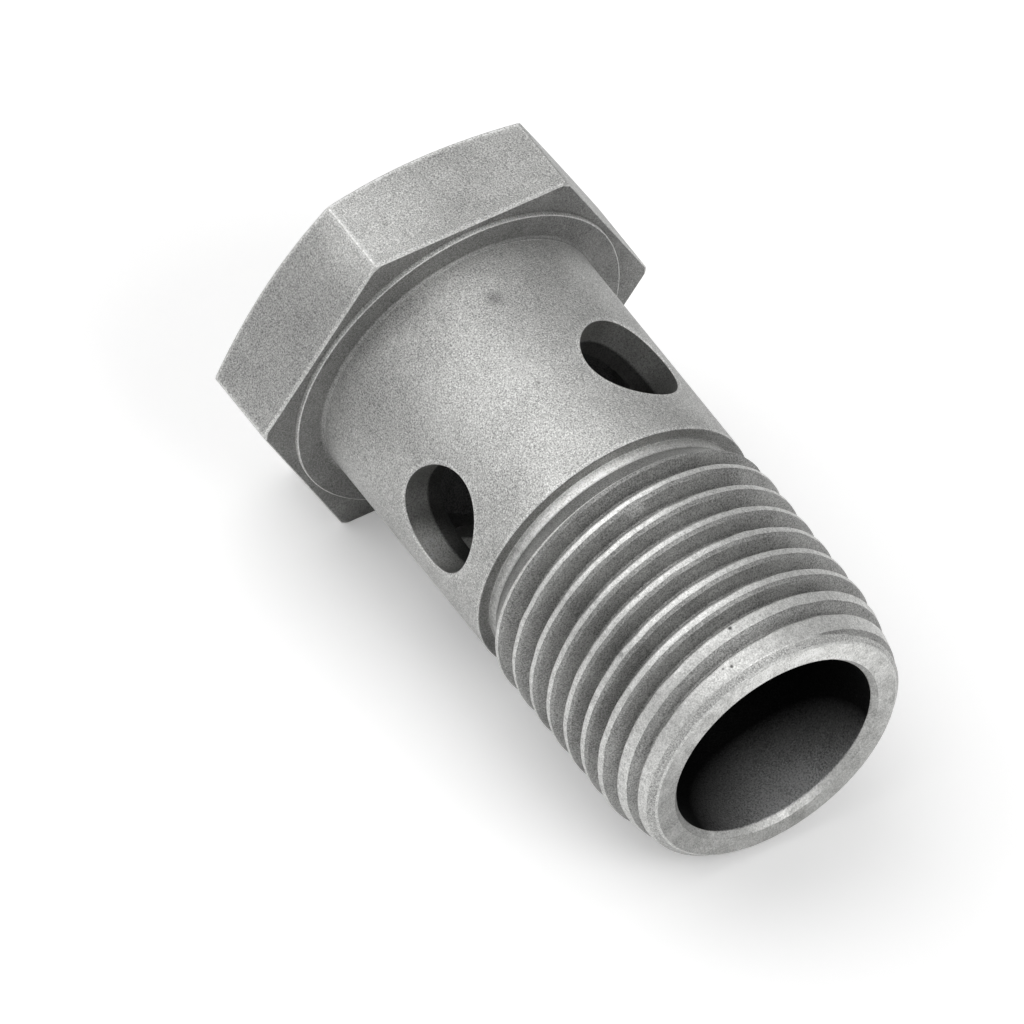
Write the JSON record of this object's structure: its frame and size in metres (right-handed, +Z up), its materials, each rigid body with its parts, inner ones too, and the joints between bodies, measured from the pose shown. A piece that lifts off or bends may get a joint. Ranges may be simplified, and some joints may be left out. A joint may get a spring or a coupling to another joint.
{
  "type": "banjo bolt",
  "caption": "Hollow steel banjo bolt with a hexagon head, a smooth shank with round side ports, a relief and a right-hand thread, lying on its side.",
  "frame": {"origin": "centre of the bearing face under the head, on the bolt's axis", "axes": "+X from the head towards the threaded end, level, the bolt's own axis dipping below it by the tilt at which it rests; +Y level, through a corner of the hexagon; +Z up"},
  "size_m": [0.0343, 0.0218, 0.0193],
  "materials": {
    "bolt_steel": "matte bare steel, evenly blasted, with a fine grain"
  },
  "bodies": {
    "root": {"banjo_bolt": "bolt_steel"}
  },
  "joints": []
}
